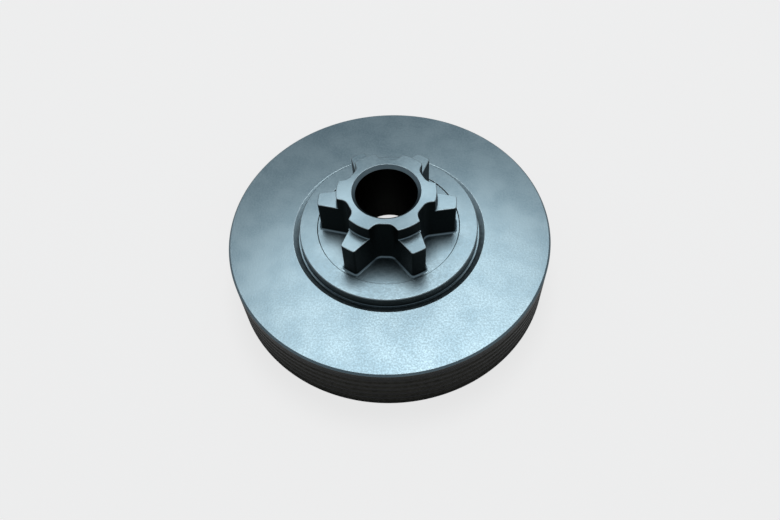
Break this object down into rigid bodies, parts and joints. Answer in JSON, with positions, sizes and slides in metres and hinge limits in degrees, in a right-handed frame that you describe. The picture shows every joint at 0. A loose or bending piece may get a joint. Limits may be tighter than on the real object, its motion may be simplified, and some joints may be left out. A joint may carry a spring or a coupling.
{
  "type": "clutch drum",
  "caption": "Cup-shaped clutch drum with a grooved outer wall, a raised boss and a spur sprocket round a through bore.",
  "frame": {"origin": "centre of the open rim's plane, on the drum's axis", "axes": "+Z along the drum's axis from the open rim to the sprocket; the middle of a sprocket tooth points along +X"},
  "size_m": [0.0706, 0.0706, 0.0268],
  "materials": {
    "drum_steel": "satin, turned, blue-grey; the wall darkened"
  },
  "bodies": {
    "root": {"clutch_drum": "drum_steel"}
  },
  "joints": []
}
